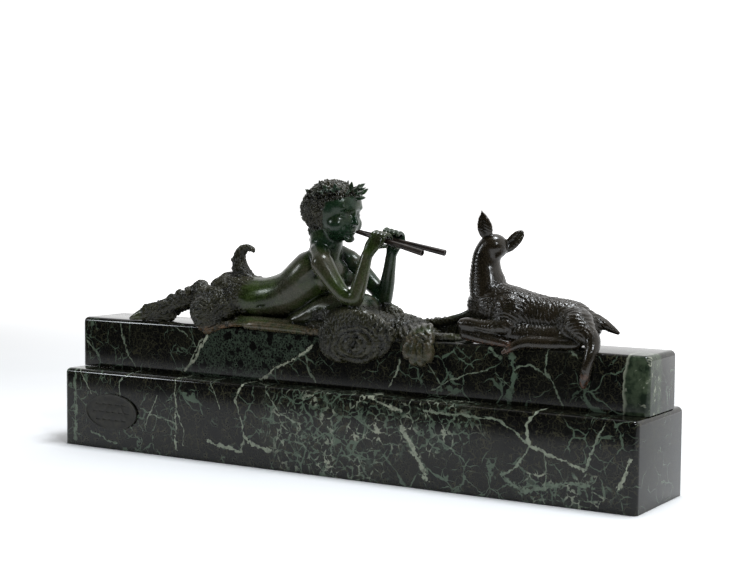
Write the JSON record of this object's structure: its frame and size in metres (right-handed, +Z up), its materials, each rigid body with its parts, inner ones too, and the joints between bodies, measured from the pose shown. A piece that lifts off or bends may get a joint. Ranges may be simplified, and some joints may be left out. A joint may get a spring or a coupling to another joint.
{
  "type": "faun statue",
  "caption": "Bronze faun lying propped on its elbows and playing a pair of pipes to a lying kid, on a stepped rectangular base of green veined marble with a blank oval plate.",
  "frame": {"origin": "middle of the base's underside", "axes": "+X along the base towards the kid, -Y towards the front with the plate, +Z up"},
  "size_m": [0.64, 0.1101, 0.2808],
  "materials": {
    "green_marble": "polished near-black green marble with a web of pale green and white veins",
    "green_bronze": "cast bronze with a mottled green-black patina, glossy on the skin, darker in the fur",
    "brown_bronze": "cast bronze with a glossy brown-black patina, rubbed brown on the edges",
    "pipe_bronze": "dark brown bronze rod, satin",
    "plate_bronze": "dark olive bronze plate with a rubbed rim"
  },
  "bodies": {
    "root": {"marble_lower_step": "green_marble", "marble_upper_step": "green_marble", "nameplate": "plate_bronze", "pipe_short": "pipe_bronze", "pipe_long": "pipe_bronze", "faun": "green_bronze", "kid": "brown_bronze"}
  },
  "joints": []
}
